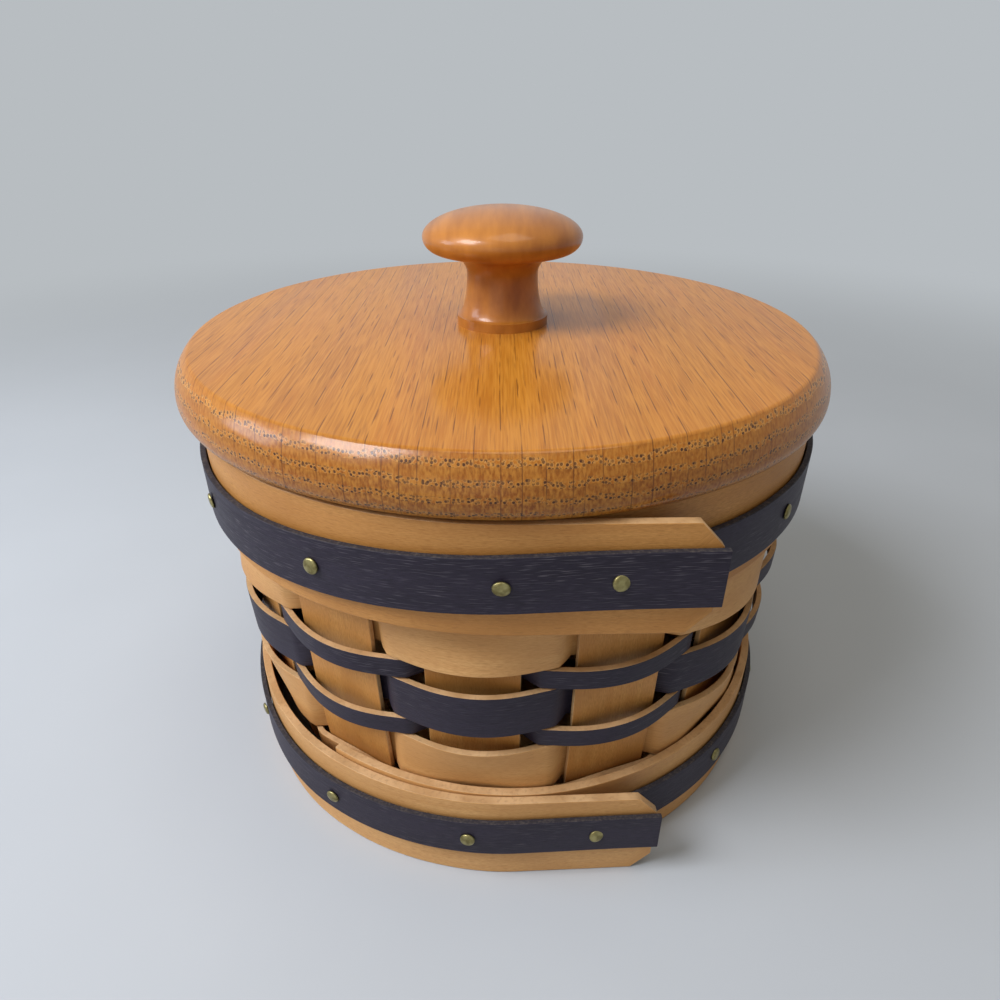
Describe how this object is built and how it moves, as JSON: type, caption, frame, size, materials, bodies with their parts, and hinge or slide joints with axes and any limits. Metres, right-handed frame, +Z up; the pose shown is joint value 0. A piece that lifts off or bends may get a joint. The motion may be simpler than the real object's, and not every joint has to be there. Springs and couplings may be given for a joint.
{
  "type": "round lidded basket",
  "caption": "Round woven splint basket with tacked rim and foot bands, dark stained rows and a turned oak lid that lifts off by its mushroom knob.",
  "frame": {"origin": "on the floor, under the middle of the basket's round base", "axes": "+Z up, out of the basket's mouth; -Y towards the front, where the ends of the two bands lap; +X to the right seen from the front"},
  "size_m": [0.156, 0.157, 0.1384],
  "materials": {
    "natural_splint": "clear-finished maple splint, satin",
    "navy_splint": "navy stained maple splint, satin",
    "oak": "golden lacquered solid oak, glossy",
    "brass": "dull brass-plated tack heads",
    "steel": "plain zinc-plated screw"
  },
  "bodies": {
    "basket": {"splint_1": "natural_splint", "splint_2": "natural_splint", "splint_3": "natural_splint", "splint_4": "natural_splint", "splint_5": "natural_splint", "splint_6": "natural_splint", "splint_7": "natural_splint", "weaver_1_foot": "natural_splint", "weaver_2_natural": "natural_splint", "weaver_3_navy_narrow": "navy_splint", "weaver_4_navy_wide": "navy_splint", "weaver_5_navy_narrow": "navy_splint", "weaver_6_natural": "natural_splint", "weaver_7_rim": "natural_splint", "base_weaver_1": "natural_splint", "base_weaver_2": "natural_splint", "base_weaver_3": "natural_splint", "base_weaver_4": "natural_splint", "rim_band": "natural_splint", "rim_trim": "navy_splint", "foot_band": "natural_splint", "foot_trim": "navy_splint", "rim_band_inner": "natural_splint", "rim_tack_01": "brass", "rim_tack_02": "brass", "rim_tack_03": "brass", "rim_tack_04": "brass", "rim_tack_05": "brass", "rim_tack_06": "brass", "rim_tack_07": "brass", "rim_tack_08": "brass", "rim_tack_09": "brass", "rim_tack_10": "brass", "rim_tack_11": "brass", "rim_tack_12": "brass", "rim_tack_13": "brass", "foot_tack_01": "brass", "foot_tack_02": "brass", "foot_tack_03": "brass", "foot_tack_04": "brass", "foot_tack_05": "brass", "foot_tack_06": "brass", "foot_tack_07": "brass", "foot_tack_08": "brass", "foot_tack_09": "brass", "foot_tack_10": "brass", "foot_tack_11": "brass", "foot_tack_12": "brass", "foot_tack_13": "brass"},
    "lid": {"lid_board": "oak", "lid_knob": "oak", "knob_screw": "steel"}
  },
  "joints": [
    {"name": "lid_lift", "type": "slide", "parent": "basket", "child": "lid", "axis": [0, 0, 1], "range_m": [0, 0.16]}
  ]
}
